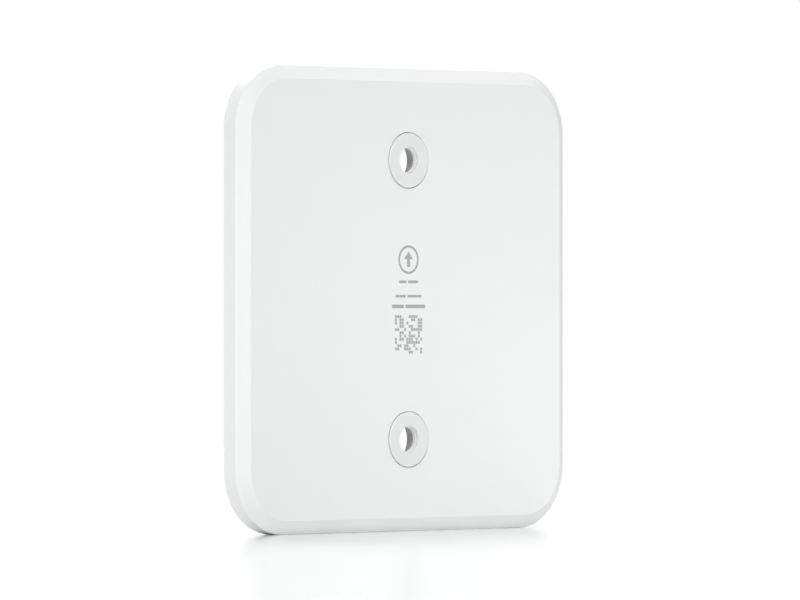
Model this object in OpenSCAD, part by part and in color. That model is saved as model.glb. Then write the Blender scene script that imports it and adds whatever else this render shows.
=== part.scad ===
// Magnetic mounting plate for a compact square access point, as an assembly of separate pieces.
// The plate stands as it hangs on a wall: +Z is up, and +Y points from the wall to the device.
// The origin is the middle of the plate's rear face, the face that lies against the wall.
// "Depth" is the distance from that rear face along +Y.

/* [Plate] */
// Width and height of the square plate
plate_w = 100; // [96:1:120]
// Thickness from the rear face to the device face
plate_t = 5.4; // [5.2:0.1:7]
// Radius of the four corners
corner_r = 13.7; // [13:0.1:16]
// Width of the bevel round the rear face
bevel_w = 2.9; // [1.5:0.1:3.2]
// Depth of the bevel
bevel_d = 1.8; // [1:0.05:2]

/* [Wall screws] */
// Distance between the two screw holes
screw_pitch = 60.3; // [56:0.1:64]
// Diameter of each screw hole
screw_hole_d = 5.35; // [4:0.05:5.6]
// Diameter of the recess that takes the screw's head
head_recess_d = 9.7; // [8:0.1:10.5]
// Thickness of the steel cup that lines the recess
cup_t = 0.5; // [0.3:0.1:0.7]

/* [Ring pads] */
// Outer diameter of each ring pad
ring_pad_d = 11.85; // [11:0.05:14]
// Diameter of the hole in the ring pad
ring_pad_hole_d = 5.7; // [5.4:0.1:7]
// Gap between a ring pad and the wall of its recess
ring_gap = 0.2; // [0.05:0.05:0.3]
// How far the pads stand proud of the faces
pad_proud = 0.25; // [0.1:0.05:0.5]
// Depth of the recess that a ring pad is glued into
ring_recess_d = 0.45; // [0.3:0.05:0.6]

/* [Shell] */
// Thickness of the shell behind its rear face
floor_t = 1.3; // [1.1:0.05:1.4]
// Thickness of the rim beside the front cover
rim_t = 1.6; // [1.5:0.1:2]
// Thickness of the front cover
cover_t = 1.2; // [1.1:0.1:1.3]

/* [Inside] */
// Thickness of the steel core
core_t = 1; // [0.6:0.1:1]
// Diameter of each magnet
magnet_d = 15; // [10:0.5:16]
// Thickness of each magnet
magnet_t = 2; // [1.6:0.1:2]
// Distance of each magnet from the plate's two centre lines
magnet_pos = 28; // [26:0.5:29]

/* [Grip pads] */
// Diameter of each grip pad
grip_pad_d = 12; // [8:0.5:13]
// Distance of each grip pad, and the cover screw under it, from the two centre lines
grip_pos = 38.5; // [38:0.1:39]
// Depth of the recess that a grip pad is glued into
grip_recess_d = 0.5; // [0.4:0.05:0.6]

/* [Hidden] */
$fn = 96;

// Gaps between pieces that are pushed together, and the extra length of a cut that goes right through
play = 0.05;
cover_gap = 0.15;
cut = 1;

// Adhesive tape, die-cut with the pads, and a little smaller than the magnets
tape_t = 0.1;
magnet_tape_inset = 0.3;

// Depths of the layers
cover_depth = plate_t - cover_t;
core_depth = floor_t;
magnet_tape_depth = core_depth + core_t;
magnet_depth = magnet_tape_depth + tape_t;
grip_floor_depth = plate_t - grip_recess_d;

// The shell's hollow has three steps: round the core, round the ribs, and round the cover
core_pocket_in = 3.4;
rib_pocket_in = 2.4;
rib_pocket_depth = 2.6;
core_gap = 0.2;

// Collar that holds each screw cup in the shell
cup_r = head_recess_d / 2 + cup_t;
collar_r = cup_r + play + 1.45;
collar_end = cover_depth - 0.1;

// Cover screws, with the post in the shell and the boss on the cover that they join
screw_r = 1;
screw_length = 3;
screw_head_r = 1.9;
screw_head_t = 0.9;
slot_length = 2.2;
slot_width = 0.45;
slot_depth = 0.5;
head_room = 0.2;
head_seat_depth = grip_floor_depth - screw_head_t - 0.1;
boss_r = 3.5;
boss_depth = head_seat_depth - 0.7;
post_r = 3;
pilot_end = 0.15;

// Ribs and magnet rings on the inside of the front cover
rib_t = 1;
rib_pos = 14;
rib_reach = plate_w / 2 - 6;
rib_depth = magnet_tape_depth + play;
magnet_ring_t = 1;
magnet_ring_depth = cover_depth - 0.8;
magnet_air = 0.1;

// Tongues on the cover's edges snap into grooves in the shell's rim
tongue_length = 16;
tongue_reach = 0.6;
tongue_t = 0.5;
tongue_depth = cover_depth + 0.2;
groove_play = 0.1;

// Chamfers on the pads and the magnets
pad_chamfer = 0.15;
magnet_chamfer = 0.3;

SIDES = [-1, 1];
TURNS = [0, 90, 180, 270];
UPPER = 1;
LOWER = -1;
LEFT = -1;
RIGHT = 1;

// Puts a piece that is built along +Z at (x, z) on the plate, so that it runs from depth along +Y
module at(x, z, depth) {
    translate([x, depth, z])
        rotate([-90, 0, 0])
            children();
}

// Puts a copy at each of the plate's four corners, at the same distance from both centre lines
module at_corners(distance, depth) {
    for (x = SIDES, z = SIDES)
        at(x * distance, z * distance, depth)
            children();
}

// Puts a copy at each of the two wall screws
module at_screws(depth) {
    for (z = SIDES)
        at(0, z * screw_pitch / 2, depth)
            children();
}

// Square slab with round corners, w wide and t thick
module slab(w, r, t) {
    linear_extrude(t)
        union() {
            square([w, w - 2 * r], center = true);
            square([w - 2 * r, w], center = true);
            for (x = SIDES, y = SIDES)
                translate([x * (w / 2 - r), y * (w / 2 - r)])
                    circle(r);
        }
}

// Slab as wide as the plate less inset on every side, with corners concentric with the plate's
module inset_slab(inset, t) {
    slab(plate_w - 2 * inset, corner_r - inset, t);
}

// Half outline of the plate's edge: a flat of length reach, the bevel, and the side wall
function edge_outline(reach) = [
    [0, 0], [reach - bevel_w, 0], [reach, bevel_d], [reach, plate_t], [0, plate_t]
];

// The plate's outer form, bevelled all round its rear face
module bevelled_block() {
    straight = plate_w - 2 * corner_r;
    for (x = SIDES, y = SIDES)
        translate([x * straight / 2, y * straight / 2, 0])
            rotate_extrude()
                polygon(edge_outline(corner_r));
    for (turn = TURNS)
        rotate([0, 0, turn])
            rotate([90, 0, 0])
                linear_extrude(straight, center = true)
                    polygon(edge_outline(plate_w / 2));
}

// Disc of radius r and thickness t, chamfered round its far end
module chamfered_disc(r, t, chamfer) {
    rotate_extrude()
        polygon([[0, 0], [r, 0], [r, t - chamfer], [r - chamfer, t], [0, t]]);
}

module rear_cover() {
    color("#eceeec")
    difference() {
        union() {
            difference() {
                at(0, 0, 0) bevelled_block();
                at(0, 0, core_depth) inset_slab(core_pocket_in, plate_t);
                at(0, 0, rib_pocket_depth) inset_slab(rib_pocket_in, plate_t);
                at(0, 0, cover_depth) inset_slab(rim_t, plate_t);
                at(0, 0, tongue_depth - groove_play) tongues(tongue_reach, groove_play);
            }
            at_screws(core_depth - play) cylinder(r = collar_r, h = collar_end - core_depth + play);
            at_corners(grip_pos, core_depth - play) cylinder(r = post_r, h = boss_depth - core_depth + play);
        }
        at_screws(-cut) cylinder(d = screw_hole_d, h = plate_t + 2 * cut);
        at_screws(-cut) cylinder(r = ring_pad_d / 2 + ring_gap, h = ring_recess_d + cut);
        at_screws(core_depth) cylinder(r = cup_r + play, h = plate_t);
        at_corners(grip_pos, head_seat_depth - screw_length - pilot_end)
            cylinder(r = screw_r, h = plate_t);
    }
}

// Four strips along the middle of the cover's edges, which reach past its edge by reach
module tongues(reach, margin) {
    for (turn = TURNS)
        rotate([0, 0, turn])
            translate([plate_w / 2 - rim_t - 1, -tongue_length / 2 - margin, 0])
                cube([1 + reach, tongue_length + 2 * margin, tongue_t + 2 * margin]);
}

module front_cover() {
    color("#eceeec")
    difference() {
        union() {
            at(0, 0, cover_depth) inset_slab(rim_t + cover_gap, cover_t);
            at(0, 0, tongue_depth) tongues(tongue_reach - groove_play, 0);
            at_corners(grip_pos, boss_depth) cylinder(r = boss_r, h = cover_depth - boss_depth + play);
            at_corners(magnet_pos, magnet_ring_depth) magnet_ring();
            for (turn = TURNS)
                at(0, 0, rib_depth) rotate([0, 0, turn]) rib();
        }
        at_screws(core_depth) cylinder(r = cup_r + play, h = plate_t);
        at_corners(magnet_pos, core_depth) cylinder(r = magnet_d / 2 + play, h = magnet_top() - core_depth);
        at_corners(grip_pos, grip_floor_depth) cylinder(d = grip_pad_d + 2 * cover_gap, h = plate_t);
        at_corners(grip_pos, head_seat_depth) cylinder(r = screw_head_r + head_room, h = plate_t);
        at_corners(grip_pos, core_depth) cylinder(r = screw_r + cover_gap, h = plate_t);
    }
}

// Depth at which the pocket over each magnet ends in the cover
function magnet_top() = magnet_depth + magnet_t + magnet_air;

// Ring that keeps a magnet in place
module magnet_ring() {
    cylinder(r = magnet_d / 2 + play + magnet_ring_t, h = cover_depth - magnet_ring_depth + play);
}

// Rib that crosses the cover, short of the rim
module rib() {
    translate([rib_pos - rib_t / 2, -rib_reach, 0])
        cube([rib_t, 2 * rib_reach, cover_depth - rib_depth + play]);
}

module steel_core() {
    color("#b4b9bc")
    difference() {
        at(0, 0, core_depth) inset_slab(core_pocket_in + core_gap, core_t);
        at_screws(0) cylinder(r = collar_r + core_gap, h = plate_t);
        at_corners(grip_pos, 0) cylinder(r = post_r + core_gap, h = plate_t);
    }
}

module screw_cup(side) {
    color("#8d9092")
    at(0, side * screw_pitch / 2, core_depth)
        difference() {
            cylinder(r = cup_r, h = plate_t - core_depth);
            translate([0, 0, cup_t]) cylinder(d = head_recess_d, h = plate_t);
            translate([0, 0, -cut]) cylinder(d = screw_hole_d, h = plate_t);
        }
}

module ring_pad(side) {
    thickness = pad_proud + ring_recess_d - tape_t;
    color("#e2e6e5")
    at(0, side * screw_pitch / 2, -pad_proud)
        difference() {
            translate([0, 0, thickness])
                rotate([180, 0, 0])
                    chamfered_disc(ring_pad_d / 2, thickness, pad_chamfer);
            translate([0, 0, -cut]) cylinder(d = ring_pad_hole_d, h = thickness + 2 * cut);
        }
}

module ring_pad_tape(side) {
    color("#d8cfa8")
    at(0, side * screw_pitch / 2, ring_recess_d - tape_t)
        difference() {
            cylinder(d = ring_pad_d, h = tape_t);
            translate([0, 0, -cut]) cylinder(d = ring_pad_hole_d, h = tape_t + 2 * cut);
        }
}

module magnet(side, row) {
    color("#c3c6c9")
    at(side * magnet_pos, row * magnet_pos, magnet_depth)
        chamfered_disc(magnet_d / 2, magnet_t, magnet_chamfer);
}

module magnet_tape(side, row) {
    color("#d8cfa8")
    at(side * magnet_pos, row * magnet_pos, magnet_tape_depth)
        cylinder(r = magnet_d / 2 - magnet_tape_inset, h = tape_t);
}

module grip_pad(side, row) {
    color("#e2e6e5")
    at(side * grip_pos, row * grip_pos, grip_floor_depth + tape_t)
        chamfered_disc(grip_pad_d / 2, grip_recess_d - tape_t + pad_proud, pad_chamfer);
}

module grip_pad_tape(side, row) {
    color("#d8cfa8")
    at(side * grip_pos, row * grip_pos, grip_floor_depth)
        cylinder(d = grip_pad_d, h = tape_t);
}

// Thread-forming screw with a cheese head and a cross slot, its head's seat at depth 0
module cover_screw() {
    difference() {
        union() {
            translate([0, 0, -screw_length]) cylinder(r = screw_r - play / 2, h = screw_length + play);
            cylinder(r = screw_head_r, h = screw_head_t);
        }
        for (turn = [0, 90])
            rotate([0, 0, turn])
                translate([-slot_length / 2, -slot_width / 2, screw_head_t - slot_depth])
                    cube([slot_length, slot_width, slot_depth + cut]);
    }
}

module cover_screws() {
    color("#9a9c9e")
    at_corners(grip_pos, head_seat_depth) cover_screw();
}

rear_cover();
front_cover();
steel_core();
screw_cup(UPPER);  // upper_screw_cup
screw_cup(LOWER);  // lower_screw_cup
ring_pad(UPPER);  // upper_ring_pad
ring_pad(LOWER);  // lower_ring_pad
ring_pad_tape(UPPER);  // upper_ring_pad_tape
ring_pad_tape(LOWER);  // lower_ring_pad_tape
magnet(LEFT, UPPER);  // magnet_upper_left
magnet(RIGHT, UPPER);  // magnet_upper_right
magnet(LEFT, LOWER);  // magnet_lower_left
magnet(RIGHT, LOWER);  // magnet_lower_right
magnet_tape(LEFT, UPPER);  // magnet_tape_upper_left
magnet_tape(RIGHT, UPPER);  // magnet_tape_upper_right
magnet_tape(LEFT, LOWER);  // magnet_tape_lower_left
magnet_tape(RIGHT, LOWER);  // magnet_tape_lower_right
grip_pad(LEFT, UPPER);  // grip_pad_upper_left
grip_pad(RIGHT, UPPER);  // grip_pad_upper_right
grip_pad(LEFT, LOWER);  // grip_pad_lower_left
grip_pad(RIGHT, LOWER);  // grip_pad_lower_right
grip_pad_tape(LEFT, UPPER);  // grip_pad_tape_upper_left
grip_pad_tape(RIGHT, UPPER);  // grip_pad_tape_upper_right
grip_pad_tape(LEFT, LOWER);  // grip_pad_tape_lower_left
grip_pad_tape(RIGHT, LOWER);  // grip_pad_tape_lower_right
cover_screws();
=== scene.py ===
"""Looks of the access point mounting plate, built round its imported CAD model.

Lengths are in millimetres and are turned into metres as vertices are made, except in the last section, whose
lengths are in metres. Depth is the distance from the plate's rear face along +Y, and a point's place on the
plate is its (x, z).
"""
import math
import random

import bmesh
import bpy
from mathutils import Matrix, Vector


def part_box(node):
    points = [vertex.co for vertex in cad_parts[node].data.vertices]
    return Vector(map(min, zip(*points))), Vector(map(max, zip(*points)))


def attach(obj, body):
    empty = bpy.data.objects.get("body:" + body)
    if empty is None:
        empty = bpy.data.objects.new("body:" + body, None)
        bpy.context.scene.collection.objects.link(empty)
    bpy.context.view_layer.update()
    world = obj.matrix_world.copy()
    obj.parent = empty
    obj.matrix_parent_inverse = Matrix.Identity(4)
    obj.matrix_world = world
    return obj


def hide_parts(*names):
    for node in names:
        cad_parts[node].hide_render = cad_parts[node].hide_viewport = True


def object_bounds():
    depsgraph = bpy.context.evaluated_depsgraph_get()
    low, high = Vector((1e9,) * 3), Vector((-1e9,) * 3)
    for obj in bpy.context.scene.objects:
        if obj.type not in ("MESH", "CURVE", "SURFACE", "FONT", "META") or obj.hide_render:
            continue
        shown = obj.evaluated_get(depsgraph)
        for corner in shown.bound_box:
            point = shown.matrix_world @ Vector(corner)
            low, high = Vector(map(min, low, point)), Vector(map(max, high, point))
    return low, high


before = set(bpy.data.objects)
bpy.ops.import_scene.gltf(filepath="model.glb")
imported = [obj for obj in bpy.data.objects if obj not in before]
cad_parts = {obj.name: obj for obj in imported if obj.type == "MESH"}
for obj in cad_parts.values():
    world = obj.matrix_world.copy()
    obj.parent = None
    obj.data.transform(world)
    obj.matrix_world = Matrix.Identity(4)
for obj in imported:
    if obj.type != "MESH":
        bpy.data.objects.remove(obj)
cad_low, cad_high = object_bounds()

MM = 0.001
BODY = "root"
CORNERS = ["upper_left", "upper_right", "lower_left", "lower_right"]
ENDS = ["upper", "lower"]


# --- Dimensions, in millimetres: from model.glb where a node's box gives them ---

def box_mm(node):
    """A CAD node's lowest and highest corner in millimetres."""
    low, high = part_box(node)
    return low / MM, high / MM


def middle_of(node):
    """The (x, z) of the middle of a CAD node."""
    low, high = box_mm(node)
    return (low.x + high.x) / 2, (low.z + high.z) / 2


def radius_of(node):
    """Half the width of a CAD node."""
    low, high = box_mm(node)
    return (high.x - low.x) / 2


def depths_of(node):
    """The depths at which a CAD node starts and ends."""
    low, high = box_mm(node)
    return low.y, high.y


# A name ends in IN for a distance in from the plate's side wall, and in DEPTH for a depth.
PLATE_HALF = radius_of("rear_cover")
PLATE_T = depths_of("rear_cover")[1]
CORNER_R = 13.7
BEVEL_IN = 2.9
BEVEL_DEPTH = 1.8
RIM_T = 1.6
COVER_T = 1.2
COVER_CLEARANCE = 0.15
COVER_IN = RIM_T + COVER_CLEARANCE
COVER_DEPTH = PLATE_T - COVER_T
RIB_POCKET_IN = 2.4
RIB_POCKET_DEPTH = 2.6
CORE_POCKET_IN = 3.4
FLOOR_DEPTH = depths_of("steel_core")[0]

PLAY = 0.05
RING_GAP = 0.2
RING_PAD_R = radius_of("upper_ring_pad")
RING_PAD_HOLE_R = 2.85
RING_RECESS_R = RING_PAD_R + RING_GAP
RING_RECESS_DEPTH = depths_of("upper_ring_pad_tape")[1]
CUP_R = radius_of("upper_screw_cup")
CUP_T = 0.5
SCREW_HOLE_R = 2.675
COLLAR_T = 1.45
COLLAR_R = CUP_R + PLAY + COLLAR_T
COLLAR_TOP_GAP = 0.1
COLLAR_DEPTH = COVER_DEPTH - COLLAR_TOP_GAP

GRIP_PAD_R = radius_of("grip_pad_upper_left")
GRIP_GAP = 0.15
GRIP_RECESS_R = GRIP_PAD_R + GRIP_GAP
GRIP_RECESS_DEPTH = depths_of("grip_pad_tape_upper_left")[0]
HEAD_HOLE_R = 2.1
HEAD_HOLE_LENGTH = 1.0
SEAT_DEPTH = GRIP_RECESS_DEPTH - HEAD_HOLE_LENGTH
SHANK_HOLE_R = 1.15
BOSS_R = 3.5
BOSS_FLOOR_T = 0.7
BOSS_DEPTH = SEAT_DEPTH - BOSS_FLOOR_T
POST_R = 3.0
PILOT_R = 1.0
PILOT_REACH = 3.15
PILOT_DEPTH = SEAT_DEPTH - PILOT_REACH

MAGNET_R = radius_of("magnet_upper_left")
MAGNET_HEADROOM = 0.1
MAGNET_ROOF_DEPTH = depths_of("magnet_upper_left")[1] + MAGNET_HEADROOM
MAGNET_RING_T = 1.0
MAGNET_RING_HEIGHT = 0.8
MAGNET_RING_DEPTH = COVER_DEPTH - MAGNET_RING_HEIGHT
RIB_POS = 14.0
RIB_HALF = 0.5
RIB_END_IN = 6.0
RIB_REACH = PLATE_HALF - RIB_END_IN
RIB_DEPTH = depths_of("steel_core")[1] + PLAY

EDGE_R = 0.22
COVER_EDGE_R = 0.12
FINE_EDGE_R = 0.1
TINY_EDGE_R = 0.05
RECESS_LIP_R = 0.06
SCREW_HOLE_LIP_R = 0.12
PAD_EDGE_R = 0.2
RING_PAD_FOOT_R = 0.04
GRIP_PAD_FOOT_CUT = 0.05
CUP_EDGE_R = 0.08
CUP_LIP_R = 0.06
CUP_BEND_R = 0.3

# A ring this far from a flat face's rounded edge keeps the face's shading flat.
OUTER_MARGIN = 0.8
HOLE_MARGIN = 0.4
GRIP_PAD_MARGIN = 1.0

ARC_STEPS = 32
STRAIGHT_STEPS = 12
EDGE_STEPS = 5
LATHE_STEPS = 144
MAGNET_RING_STEPS = 96
POST_STEPS = 48
SHARP_DEGREES = 35


# --- Outlines and profiles ---

def rounded_square(inset):
    """Outline of the plate less inset on every side, as (x, z) points, with corners about fixed centres."""
    centre = PLATE_HALF - CORNER_R
    radius = CORNER_R - inset
    points = []
    for quarter in range(4):
        cx = centre if quarter in (0, 3) else -centre
        cz = centre if quarter in (0, 1) else -centre
        arc = [
            (cx + radius * math.cos(a), cz + radius * math.sin(a))
            for a in ((quarter + k / ARC_STEPS) * math.pi / 2 for k in range(ARC_STEPS + 1))
        ]
        points += arc
        end = arc[-1]
        turn = (-math.sin((quarter + 1) * math.pi / 2), math.cos((quarter + 1) * math.pi / 2))
        for k in range(1, STRAIGHT_STEPS):
            along = 2 * centre * k / STRAIGHT_STEPS
            points.append((end[0] + turn[0] * along, end[1] + turn[1] * along))
    return points


def circle(radius, centre=(0.0, 0.0), steps=LATHE_STEPS):
    """Circle of (x, z) points."""
    return [
        (centre[0] + radius * math.cos(a), centre[1] + radius * math.sin(a))
        for a in (2 * math.pi * k / steps for k in range(steps))
    ]


def rounded_profile(corners, closed=False):
    """Polyline of 2D points with its corners rounded. Each corner is (u, v) or (u, v, radius)."""
    count = len(corners)
    points = []
    for i, corner in enumerate(corners):
        here = Vector(corner[:2])
        radius = corner[2] if len(corner) > 2 else 0
        at_end = not closed and i in (0, count - 1)
        if radius == 0 or at_end:
            points.append(tuple(here))
            continue
        back = (Vector(corners[i - 1][:2]) - here).normalized()
        ahead = (Vector(corners[(i + 1) % count][:2]) - here).normalized()
        half_angle = back.angle(ahead) / 2
        reach = radius / math.tan(half_angle)
        centre = here + (back + ahead).normalized() * (radius / math.sin(half_angle))
        first = here + back * reach - centre
        last = here + ahead * reach - centre
        sweep = math.pi - 2 * half_angle
        for k in range(EDGE_STEPS + 1):
            t = k / EDGE_STEPS
            mix = first * math.sin((1 - t) * sweep) + last * math.sin(t * sweep)
            points.append(tuple(centre + mix / math.sin(sweep)))
    return points


# --- Mesh building ---

def ring(mesh, outline, depth):
    """A closed ring of vertices: an outline of (x, z) points at one depth."""
    return [mesh.verts.new((x * MM, depth * MM, z * MM)) for x, z in outline]


def bridge(mesh, first, second):
    """A band of quads between two rings of the same length."""
    for i in range(len(first)):
        j = (i + 1) % len(first)
        mesh.faces.new((first[i], first[j], second[j], second[i]))


def sweep(mesh, profile, outline_at):
    """Rings along a profile of (size, depth) points, joined by bands. Returns the first and last ring."""
    rings = [ring(mesh, outline_at(size), depth) for size, depth in profile]
    for first, second in zip(rings, rings[1:]):
        bridge(mesh, first, second)
    return rings[0], rings[-1]


def fill(mesh, rings):
    """A flat face bounded by the first ring, with the other rings as its holes."""
    edges = []
    for vertices in rings:
        for i, vertex in enumerate(vertices):
            other = vertices[(i + 1) % len(vertices)]
            edge = mesh.edges.get((vertex, other)) or mesh.edges.new((vertex, other))
            edges.append(edge)
    bmesh.ops.triangle_fill(mesh, edges=edges, use_beauty=True)


def new_piece(mesh, name, material):
    """Turns a bmesh into a flat-shaded piece that rides on the plate."""
    bmesh.ops.recalc_face_normals(mesh, faces=mesh.faces)
    data = bpy.data.meshes.new(name)
    mesh.to_mesh(data)
    mesh.free()
    data.materials.append(material)
    piece = bpy.data.objects.new(name, data)
    bpy.context.scene.collection.objects.link(piece)
    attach(piece, BODY)
    return piece


def new_smooth_piece(mesh, name, material, replaced):
    """Turns a bmesh into a smooth-shaded piece that stands for the CAD node replaced."""
    piece = new_piece(mesh, name, material)
    piece.data.shade_smooth()
    piece.data.set_sharp_from_angle(angle=math.radians(SHARP_DEGREES))
    weighted = piece.modifiers.new("even_normals", "WEIGHTED_NORMAL")
    weighted.keep_sharp = True
    weighted.weight = 100
    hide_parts(replaced)


def lathe(name, profile, centre, material, replaced):
    """Piece turned about an axis along Y: a closed profile of (radius, depth) corners."""
    mesh = bmesh.new()
    points = rounded_profile(profile, closed=True)
    rings = [ring(mesh, circle(r, centre), depth) for r, depth in points]
    for first, second in zip(rings, rings[1:] + rings[:1]):
        bridge(mesh, first, second)
    new_smooth_piece(mesh, name, material, replaced)


def turned_disc(name, profile, centre, material, replaced):
    """Solid disc turned about an axis along Y: an open profile of (radius, depth) corners, capped flat."""
    mesh = bmesh.new()
    first, last = sweep(mesh, rounded_profile(profile), lambda r: circle(r, centre))
    fill(mesh, [first])
    fill(mesh, [last])
    new_smooth_piece(mesh, name, material, replaced)


# --- Materials ---

NOISE_LOW = 0.3
NOISE_HIGH = 0.7


class Surface:
    """A Principled material, with helpers that link procedural detail to it."""

    def __init__(self, name, colour, roughness, metallic=0.0):
        self.material = bpy.data.materials.new(name)
        self.material.use_nodes = True
        self.nodes = self.material.node_tree.nodes
        self.links = self.material.node_tree.links
        self.shader = self.nodes["Principled BSDF"]
        self.shader.inputs["Base Color"].default_value = (*colour, 1)
        self.shader.inputs["Roughness"].default_value = roughness
        self.shader.inputs["Metallic"].default_value = metallic
        self.colour = colour
        self.place = self.nodes.new("ShaderNodeTexCoord").outputs["Object"]

    def stretched(self, scale):
        """The object's coordinates, scaled by a different amount along each axis."""
        mapping = self.nodes.new("ShaderNodeMapping")
        mapping.inputs["Scale"].default_value = scale
        self.links.new(self.place, mapping.inputs["Vector"])
        return mapping.outputs["Vector"]

    def noise(self, size_mm, detail=3.0, roughness=0.5, vector=None):
        """Noise whose features are about size_mm across."""
        node = self.nodes.new("ShaderNodeTexNoise")
        node.inputs["Scale"].default_value = 1 / (size_mm * MM)
        node.inputs["Detail"].default_value = detail
        node.inputs["Roughness"].default_value = roughness
        self.links.new(vector or self.place, node.inputs["Vector"])
        return node.outputs["Fac"]

    def cells(self, size_mm):
        """A random grey for each of the cells of a Voronoi pattern."""
        node = self.nodes.new("ShaderNodeTexVoronoi")
        node.inputs["Scale"].default_value = 1 / (size_mm * MM)
        self.links.new(self.place, node.inputs["Vector"])
        grey = self.nodes.new("ShaderNodeSeparateColor")
        self.links.new(node.outputs["Color"], grey.inputs["Color"])
        return grey.outputs["Red"]

    def tint(self, factor, dark, light):
        """Base colour that runs from dark to light times the plain colour as the noise in factor rises."""
        ramp = self.nodes.new("ShaderNodeValToRGB")
        ramp.color_ramp.elements[0].position = NOISE_LOW
        ramp.color_ramp.elements[1].position = NOISE_HIGH
        ramp.color_ramp.elements[0].color = (*(c * dark for c in self.colour), 1)
        ramp.color_ramp.elements[1].color = (*(c * light for c in self.colour), 1)
        self.links.new(factor, ramp.inputs["Fac"])
        self.links.new(ramp.outputs["Color"], self.shader.inputs["Base Color"])

    def gloss(self, factor, low, high):
        """Roughness that runs from low to high as the noise in factor rises."""
        scale = self.nodes.new("ShaderNodeMapRange")
        scale.inputs["From Min"].default_value = NOISE_LOW
        scale.inputs["From Max"].default_value = NOISE_HIGH
        scale.inputs["To Min"].default_value = low
        scale.inputs["To Max"].default_value = high
        self.links.new(factor, scale.inputs["Value"])
        self.links.new(scale.outputs["Result"], self.shader.inputs["Roughness"])

    def bump(self, factor, height_mm):
        """Relief of the given height."""
        node = self.nodes.new("ShaderNodeBump")
        node.inputs["Distance"].default_value = height_mm * MM
        node.inputs["Strength"].default_value = 1
        self.links.new(factor, node.inputs["Height"])
        self.links.new(node.outputs["Normal"], self.shader.inputs["Normal"])


def white_plastic(name):
    """Cool white polycarbonate with a fine spark-eroded texture."""
    surface = Surface(name, (0.746, 0.76, 0.7525), 0.48)
    surface.tint(surface.noise(9, detail=2), 0.993, 1.0)
    surface.gloss(surface.noise(1.2), 0.44, 0.52)
    surface.bump(surface.noise(0.16, detail=4, roughness=0.6), 0.004)
    return surface.material


def silicone():
    """Soft white silicone, slightly translucent, with a satin skin."""
    surface = Surface("silicone", (0.68, 0.705, 0.698), 0.42)
    surface.shader.inputs["Subsurface Weight"].default_value = 0.12
    surface.shader.inputs["Subsurface Radius"].default_value = (0.9, 0.9, 0.8)
    surface.shader.inputs["Subsurface Scale"].default_value = 0.6 * MM
    surface.tint(surface.noise(2.5), 0.985, 1.0)
    surface.gloss(surface.noise(0.7), 0.38, 0.5)
    surface.bump(surface.noise(0.3, detail=3), 0.003)
    return surface.material


def phosphated_steel():
    """Mid grey phosphated steel, with faint drawing marks along the cup."""
    surface = Surface("phosphated_steel", (0.37, 0.372, 0.376), 0.6, metallic=0.35)
    surface.tint(surface.noise(0.5, detail=4), 0.8, 1.1)
    surface.gloss(surface.noise(0.3), 0.5, 0.7)
    surface.bump(surface.noise(0.25, vector=surface.stretched((1, 0.08, 1))), 0.006)
    return surface.material


def galvanised_steel():
    """Hot-dipped sheet with soft spangle."""
    surface = Surface("galvanised_steel", (0.58, 0.6, 0.61), 0.4, metallic=1.0)
    spangle = surface.cells(4.5)
    surface.tint(spangle, 0.86, 1.08)
    surface.gloss(spangle, 0.3, 0.46)
    surface.bump(surface.noise(0.6, detail=4), 0.004)
    return surface.material


def nickel_plate():
    """Bright nickel plating over a pressed magnet."""
    surface = Surface("nickel_plate", (0.72, 0.71, 0.69), 0.22, metallic=1.0)
    surface.tint(surface.noise(3), 0.95, 1.0)
    surface.gloss(surface.noise(0.5), 0.18, 0.3)
    surface.bump(surface.noise(0.12, detail=4), 0.002)
    return surface.material


def zinc_plate():
    """Clear zinc plating on small screws."""
    surface = Surface("zinc_plate", (0.6, 0.61, 0.63), 0.3, metallic=1.0)
    surface.tint(surface.noise(0.8), 0.9, 1.05)
    surface.gloss(surface.noise(0.4), 0.25, 0.38)
    surface.bump(surface.noise(0.1), 0.003)
    return surface.material


def clear_adhesive():
    """Double-sided adhesive film, very slightly yellow."""
    surface = Surface("clear_adhesive", (0.7, 0.69, 0.65), 0.35)
    surface.tint(surface.noise(1.5), 0.94, 1.0)
    surface.gloss(surface.noise(0.6), 0.3, 0.45)
    surface.bump(surface.noise(0.4), 0.004)
    return surface.material


def laser_grey():
    """Grey laser marking in white plastic, with the grain of the beam's dots."""
    surface = Surface("laser_grey", (0.36, 0.368, 0.366), 0.7)
    surface.tint(surface.noise(0.12, detail=2), 0.85, 1.1)
    surface.gloss(surface.noise(0.1), 0.6, 0.8)
    surface.bump(surface.noise(0.08), 0.004)
    return surface.material


# --- The shell ---

def shell_edge_profile():
    """From the rear face over the bevel and the side wall, over the rim, and down to the shell's floor."""
    return rounded_profile([
        (BEVEL_IN + OUTER_MARGIN, 0),
        (BEVEL_IN, 0, EDGE_R),
        (0, BEVEL_DEPTH, EDGE_R),
        (0, PLATE_T, FINE_EDGE_R),
        (RIM_T, PLATE_T, FINE_EDGE_R),
        (RIM_T, COVER_DEPTH),
        (RIB_POCKET_IN, COVER_DEPTH),
        (RIB_POCKET_IN, RIB_POCKET_DEPTH),
        (CORE_POCKET_IN, RIB_POCKET_DEPTH),
        (CORE_POCKET_IN, FLOOR_DEPTH),
    ])


def screw_hole_profile():
    """From the rear face into the pad's recess, through the hole, up the cup's bore and over its collar."""
    return rounded_profile([
        (RING_RECESS_R + HOLE_MARGIN, 0),
        (RING_RECESS_R, 0, RECESS_LIP_R),
        (RING_RECESS_R, RING_RECESS_DEPTH),
        (SCREW_HOLE_R, RING_RECESS_DEPTH, SCREW_HOLE_LIP_R),
        (SCREW_HOLE_R, FLOOR_DEPTH, TINY_EDGE_R),
        (CUP_R + PLAY, FLOOR_DEPTH),
        (CUP_R + PLAY, COLLAR_DEPTH, FINE_EDGE_R),
        (COLLAR_R, COLLAR_DEPTH, FINE_EDGE_R),
        (COLLAR_R, FLOOR_DEPTH),
    ])


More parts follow.
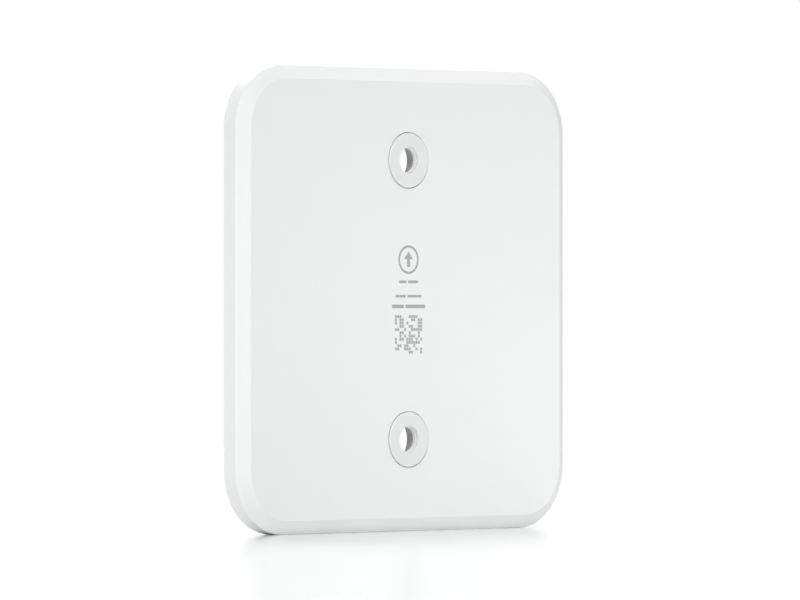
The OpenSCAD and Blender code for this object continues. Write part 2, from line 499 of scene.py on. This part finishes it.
def post_profile():
    """From the shell's floor up a cover screw's post, and down its pilot hole."""
    return rounded_profile([
        (POST_R, FLOOR_DEPTH),
        (POST_R, BOSS_DEPTH, FINE_EDGE_R),
        (PILOT_R, BOSS_DEPTH),
        (PILOT_R, PILOT_DEPTH),
    ])


def make_rear_cover(material):
    """The shell: one closed surface with two screw holes through it and four posts inside."""
    mesh = bmesh.new()
    face_edge, floor_edge = sweep(mesh, shell_edge_profile(), rounded_square)
    face_rings = [face_edge]
    floor_rings = [floor_edge]
    for end in ENDS:
        centre = middle_of(f"{end}_screw_cup")
        mouth, foot = sweep(mesh, screw_hole_profile(), lambda r, c=centre: circle(r, c))
        face_rings.append(mouth)
        floor_rings.append(foot)
    for corner in CORNERS:
        centre = middle_of(f"grip_pad_{corner}")
        foot, pilot = sweep(mesh, post_profile(), lambda r, c=centre: circle(r, c, POST_STEPS))
        floor_rings.append(foot)
        fill(mesh, [pilot])
    fill(mesh, face_rings)
    fill(mesh, floor_rings)
    new_smooth_piece(mesh, "rear_cover_moulding", material, "rear_cover")


# --- The front cover ---

def cover_edge_profile():
    """From the device face over the cover's edge to its underside."""
    return rounded_profile([
        (COVER_IN + OUTER_MARGIN, PLATE_T),
        (COVER_IN, PLATE_T, COVER_EDGE_R),
        (COVER_IN, COVER_DEPTH),
    ])


def cup_opening_profile():
    """From the device face through the hole that takes a cup's rim."""
    return rounded_profile([
        (CUP_R + PLAY + HOLE_MARGIN, PLATE_T),
        (CUP_R + PLAY, PLATE_T, FINE_EDGE_R),
        (CUP_R + PLAY, COVER_DEPTH),
    ])


def grip_recess_profile():
    """From the device face into a grip pad's recess, through the screw's hole, and up its boss."""
    return rounded_profile([
        (GRIP_RECESS_R + HOLE_MARGIN, PLATE_T),
        (GRIP_RECESS_R, PLATE_T, FINE_EDGE_R),
        (GRIP_RECESS_R, GRIP_RECESS_DEPTH),
        (HEAD_HOLE_R, GRIP_RECESS_DEPTH, TINY_EDGE_R),
        (HEAD_HOLE_R, SEAT_DEPTH),
        (SHANK_HOLE_R, SEAT_DEPTH),
        (SHANK_HOLE_R, BOSS_DEPTH),
        (BOSS_R, BOSS_DEPTH),
        (BOSS_R, COVER_DEPTH),
    ])


def magnet_ring_profile():
    """From the underside over a magnet's locating ring, to the roof of its pocket."""
    inner = MAGNET_R + PLAY
    outer = inner + MAGNET_RING_T
    return rounded_profile([
        (outer, COVER_DEPTH),
        (outer, MAGNET_RING_DEPTH, FINE_EDGE_R),
        (inner, MAGNET_RING_DEPTH, FINE_EDGE_R),
        (inner, MAGNET_ROOF_DEPTH),
    ])


def rib_outline():
    """Outline of four crossing ribs, two each way."""
    near = RIB_POS - RIB_HALF
    far = RIB_POS + RIB_HALF
    side = [
        (-far, far), (-far, RIB_REACH), (-near, RIB_REACH), (-near, far),
        (near, far), (near, RIB_REACH), (far, RIB_REACH),
    ]
    points = []
    for cosine, sine in [(1, 0), (0, -1), (-1, 0), (0, 1)]:
        points += [(x * cosine - z * sine, x * sine + z * cosine) for x, z in side]
    return points


def add_ribs(mesh):
    """Walls and tops of the crossing ribs. Returns the rings where they meet the underside."""
    near = RIB_POS - RIB_HALF
    window = [(-near, -near), (near, -near), (near, near), (-near, near)]
    feet, tops = [], []
    for outline in (rib_outline(), window):
        foot = ring(mesh, outline, COVER_DEPTH)
        top = ring(mesh, outline, RIB_DEPTH)
        bridge(mesh, foot, top)
        feet.append(foot)
        tops.append(top)
    fill(mesh, tops)
    return feet


def make_front_cover(material):
    """The inner cover, with the grip pads' recesses on one side and rings, bosses and ribs on the other."""
    mesh = bmesh.new()
    face_edge, under_edge = sweep(mesh, cover_edge_profile(), rounded_square)
    face_rings = [face_edge]
    under_rings = [under_edge]
    for end in ENDS:
        centre = middle_of(f"{end}_screw_cup")
        mouth, foot = sweep(mesh, cup_opening_profile(), lambda r, c=centre: circle(r, c))
        face_rings.append(mouth)
        under_rings.append(foot)
    for corner in CORNERS:
        centre = middle_of(f"grip_pad_{corner}")
        mouth, foot = sweep(mesh, grip_recess_profile(), lambda r, c=centre: circle(r, c))
        face_rings.append(mouth)
        under_rings.append(foot)
        centre = middle_of(f"magnet_{corner}")
        foot, roof = sweep(mesh, magnet_ring_profile(), lambda r, c=centre: circle(r, c, MAGNET_RING_STEPS))
        under_rings.append(foot)
        fill(mesh, [roof])
    rib_foot, window_foot = add_ribs(mesh)
    fill(mesh, face_rings)
    fill(mesh, under_rings + [rib_foot])
    fill(mesh, [window_foot])
    new_smooth_piece(mesh, "front_cover_moulding", material, "front_cover")


# --- Pads and cups ---

def make_ring_pad(end, material):
    """The silicone ring round one screw hole."""
    near, far = depths_of(f"{end}_ring_pad")
    profile = [
        (RING_PAD_HOLE_R, far),
        (RING_PAD_HOLE_R, near, PAD_EDGE_R),
        (RING_PAD_R, near, PAD_EDGE_R),
        (RING_PAD_R, far, RING_PAD_FOOT_R),
    ]
    centre = middle_of(f"{end}_ring_pad")
    lathe(f"{end}_ring_pad_silicone", profile, centre, material, f"{end}_ring_pad")


def make_screw_cup(end, material):
    """The drawn cup that takes one wall screw's head."""
    near, far = depths_of(f"{end}_screw_cup")
    bore_r = CUP_R - CUP_T
    profile = [
        (SCREW_HOLE_R, near, CUP_EDGE_R),
        (CUP_R, near, CUP_BEND_R),
        (CUP_R, far, CUP_EDGE_R),
        (bore_r, far, CUP_LIP_R),
        (bore_r, near + CUP_T, CUP_BEND_R),
        (SCREW_HOLE_R, near + CUP_T, CUP_EDGE_R),
    ]
    centre = middle_of(f"{end}_screw_cup")
    lathe(f"{end}_screw_cup_steel", profile, centre, material, f"{end}_screw_cup")


def make_grip_pad(corner, material):
    """The silicone disc near one corner of the device side."""
    node = f"grip_pad_{corner}"
    near, far = depths_of(node)
    profile = [
        (GRIP_PAD_R - GRIP_PAD_FOOT_CUT, near),
        (GRIP_PAD_R, near + GRIP_PAD_FOOT_CUT),
        (GRIP_PAD_R, far, PAD_EDGE_R),
        (GRIP_PAD_R - GRIP_PAD_MARGIN, far),
    ]
    turned_disc(f"{node}_silicone", profile, middle_of(node), material, node)


# --- Generic marking on the rear face ---

MARK_T = 0.012
EMBLEM_Z = 8.7
EMBLEM_R = 3.1
EMBLEM_LINE = 0.5
EMBLEM_STEPS = 64
ARROW_TIP = 1.75
ARROW_SHOULDER = 0.1
ARROW_FOOT = -1.6
ARROW_HEAD_HALF = 1.35
ARROW_STEM_HALF = 0.45
DASH_GAP = 0.5
DASH_ROWS = [
    {"z": 3.9, "height": 0.6, "lengths": (2.2, 3.0)},
    {"z": 0.8, "height": 0.55, "lengths": (3.1, 4.3)},
    {"z": -1.4, "height": 0.75, "lengths": (3.6, 6.0)},
]
FIELD_Z = -7.45
FIELD_SIZE = 8.4
FIELD_CELLS = 12
FIELD_FILL = 0.5
FIELD_DOT = 0.86
FIELD_SEED = 5


def prism(mesh, outline, depth_from, depth_to, holes=()):
    """Closed prism on an outline of (x, z) points, with holes of the same kind."""
    near, far = [], []
    for points in (outline, *holes):
        first = ring(mesh, points, depth_from)
        second = ring(mesh, points, depth_to)
        bridge(mesh, first, second)
        near.append(first)
        far.append(second)
    fill(mesh, near)
    fill(mesh, far)


def bar(mesh, x0, x1, z0, z1):
    """A thin rectangular mark on the rear face."""
    prism(mesh, [(x0, z0), (x1, z0), (x1, z1), (x0, z1)], -MARK_T, 0)


def make_mark(name, build, material):
    """A marking of the shell, whose shapes the function build adds to a mesh."""
    mesh = bmesh.new()
    build(mesh)
    new_piece(mesh, name, material)


def build_emblem(mesh):
    """A plain arrow in a ring, which shows which way up the plate goes."""
    outer = circle(EMBLEM_R, (0.0, EMBLEM_Z), EMBLEM_STEPS)
    inner = circle(EMBLEM_R - EMBLEM_LINE, (0.0, EMBLEM_Z), EMBLEM_STEPS)
    prism(mesh, outer, -MARK_T, 0, [inner])
    tip = EMBLEM_Z + ARROW_TIP
    shoulder = EMBLEM_Z + ARROW_SHOULDER
    foot = EMBLEM_Z + ARROW_FOOT
    right_half = [(ARROW_STEM_HALF, foot), (ARROW_STEM_HALF, shoulder), (ARROW_HEAD_HALF, shoulder)]
    left_half = [(-x, z) for x, z in reversed(right_half)]
    prism(mesh, right_half + [(0, tip)] + left_half, -MARK_T, 0)


def build_dashes(mesh):
    """Rows of plain dashes in place of lettering."""
    for row in DASH_ROWS:
        lengths = row["lengths"]
        x = -(sum(lengths) + DASH_GAP * (len(lengths) - 1)) / 2
        for length in lengths:
            bar(mesh, x, x + length, row["z"] - row["height"] / 2, row["z"] + row["height"] / 2)
            x += length + DASH_GAP


def build_dot_field(mesh):
    """A square field of dots, filled at random, so that it holds no code."""
    chance = random.Random(FIELD_SEED)
    pitch = FIELD_SIZE / FIELD_CELLS
    half = pitch * FIELD_DOT / 2
    for row in range(FIELD_CELLS):
        for column in range(FIELD_CELLS):
            if chance.random() > FIELD_FILL:
                continue
            x = (column + 0.5) * pitch - FIELD_SIZE / 2
            z = FIELD_Z + (row + 0.5) * pitch - FIELD_SIZE / 2
            bar(mesh, x - half, x + half, z - half, z + half)


# --- Build the object ---

shell_white = white_plastic("shell_white")
cover_white = white_plastic("cover_white")
soft_white = silicone()
cup_grey = phosphated_steel()

make_rear_cover(shell_white)
make_front_cover(cover_white)
for end_name in ENDS:
    make_ring_pad(end_name, soft_white)
    make_screw_cup(end_name, cup_grey)
for corner_name in CORNERS:
    make_grip_pad(corner_name, soft_white)

mark_grey = laser_grey()
make_mark("mark_up_arrow", build_emblem, mark_grey)
make_mark("mark_dashes", build_dashes, mark_grey)
make_mark("mark_dot_field", build_dot_field, mark_grey)


def dress(nodes, material):
    """Gives CAD nodes that stay as they are a finished material."""
    for node in nodes:
        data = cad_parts[node].data
        data.materials.clear()
        data.materials.append(material)


dress(["steel_core"], galvanised_steel())
dress([f"magnet_{corner}" for corner in CORNERS], nickel_plate())
dress(["cover_screws"], zinc_plate())
tapes = [f"{end}_ring_pad_tape" for end in ENDS]
tapes += [f"magnet_tape_{corner}" for corner in CORNERS]
tapes += [f"grip_pad_tape_{corner}" for corner in CORNERS]
dress(tapes, clear_adhesive())


# --- Floor, light and camera, in metres and degrees ---

FLOOR_HALF = 0.7
WORLD_SHOWN = 1.0
WORLD_FILL = 0.05
CAMERA_AZIMUTH = -44.94
CAMERA_DISTANCE = 1.641
CAMERA_LENS = 341.8
CAMERA_SENSOR = 36
CAMERA_REACH = 50
CAMERA_LEFT = 0.00184
CAMERA_UP = -0.00002


def make_floor():
    """Plain white floor under the plate, with a soft sheen."""
    data = bpy.data.meshes.new("floor")
    signs = [(-1, -1), (1, -1), (1, 1), (-1, 1)]
    corners = [(x * FLOOR_HALF, y * FLOOR_HALF, cad_low.z) for x, y in signs]
    data.from_pydata(corners, [], [(0, 1, 2, 3)])
    surface = Surface("floor_white", (0.84, 0.84, 0.84), 0.13)
    data.materials.append(surface.material)
    floor = bpy.data.objects.new("floor", data)
    bpy.context.scene.collection.objects.link(floor)


def direction(azimuth, elevation):
    """Unit vector from the plate towards a place round it. Azimuth 0 is in front of the rear face."""
    a, e = math.radians(azimuth), math.radians(elevation)
    return Vector((math.sin(a) * math.cos(e), -math.cos(a) * math.cos(e), math.sin(e)))


def make_light(name, azimuth, elevation, distance, size, power, mirrored=True):
    """Square soft light that faces the plate. One that isn't mirrored leaves no highlight anywhere."""
    data = bpy.data.lights.new(name, "AREA")
    data.size = size
    data.energy = power
    light = bpy.data.objects.new(name, data)
    way = direction(azimuth, elevation)
    light.location = way * distance
    light.rotation_euler = way.to_track_quat("Z", "Y").to_euler()
    light.visible_camera = False
    light.visible_glossy = mirrored
    bpy.context.scene.collection.objects.link(light)


def make_world():
    """White all round. It lights matt surfaces less than it shows, so that the lamps shape them."""
    world = bpy.data.worlds.new("studio")
    world.use_nodes = True
    nodes, links = world.node_tree.nodes, world.node_tree.links
    background = nodes["Background"]
    background.inputs["Color"].default_value = (1, 1, 1, 1)
    level = nodes.new("ShaderNodeMapRange")
    level.inputs["To Min"].default_value = WORLD_SHOWN
    level.inputs["To Max"].default_value = WORLD_FILL
    links.new(nodes.new("ShaderNodeLightPath").outputs["Is Diffuse Ray"], level.inputs["Value"])
    links.new(level.outputs["Result"], background.inputs["Strength"])
    bpy.context.scene.world = world


def make_camera():
    """Long lens level with the plate's middle, which sees the rear face from its left."""
    data = bpy.data.cameras.new("camera")
    data.lens = CAMERA_LENS
    data.sensor_width = CAMERA_SENSOR
    data.clip_end = CAMERA_REACH
    camera = bpy.data.objects.new("camera", data)
    way = direction(CAMERA_AZIMUTH, 0)
    left = way.cross(Vector((0, 0, 1)))
    camera.location = way * CAMERA_DISTANCE + left * CAMERA_LEFT + Vector((0, 0, CAMERA_UP))
    camera.rotation_euler = way.to_track_quat("Z", "Y").to_euler()
    bpy.context.scene.collection.objects.link(camera)
    bpy.context.scene.camera = camera


make_floor()
make_world()
make_light("key_light", azimuth=-50, elevation=32, distance=3, size=1.2, power=50)
make_light("top_light", azimuth=-62, elevation=66, distance=3, size=1.2, power=25)
make_light("side_light", azimuth=75, elevation=45, distance=3, size=1.2, power=18)
make_light("low_fill", azimuth=13, elevation=-12, distance=0.2, size=0.015, power=0.108, mirrored=False)
make_light("low_left_fill", azimuth=-80, elevation=-10, distance=0.22, size=0.02, power=0.02, mirrored=False)
make_light("far_left_light", azimuth=-120, elevation=35, distance=3, size=1.8, power=10)
make_light("far_right_light", azimuth=143, elevation=50, distance=3, size=1.8, power=72)
make_camera()
bpy.context.scene.view_settings.view_transform = "Standard"
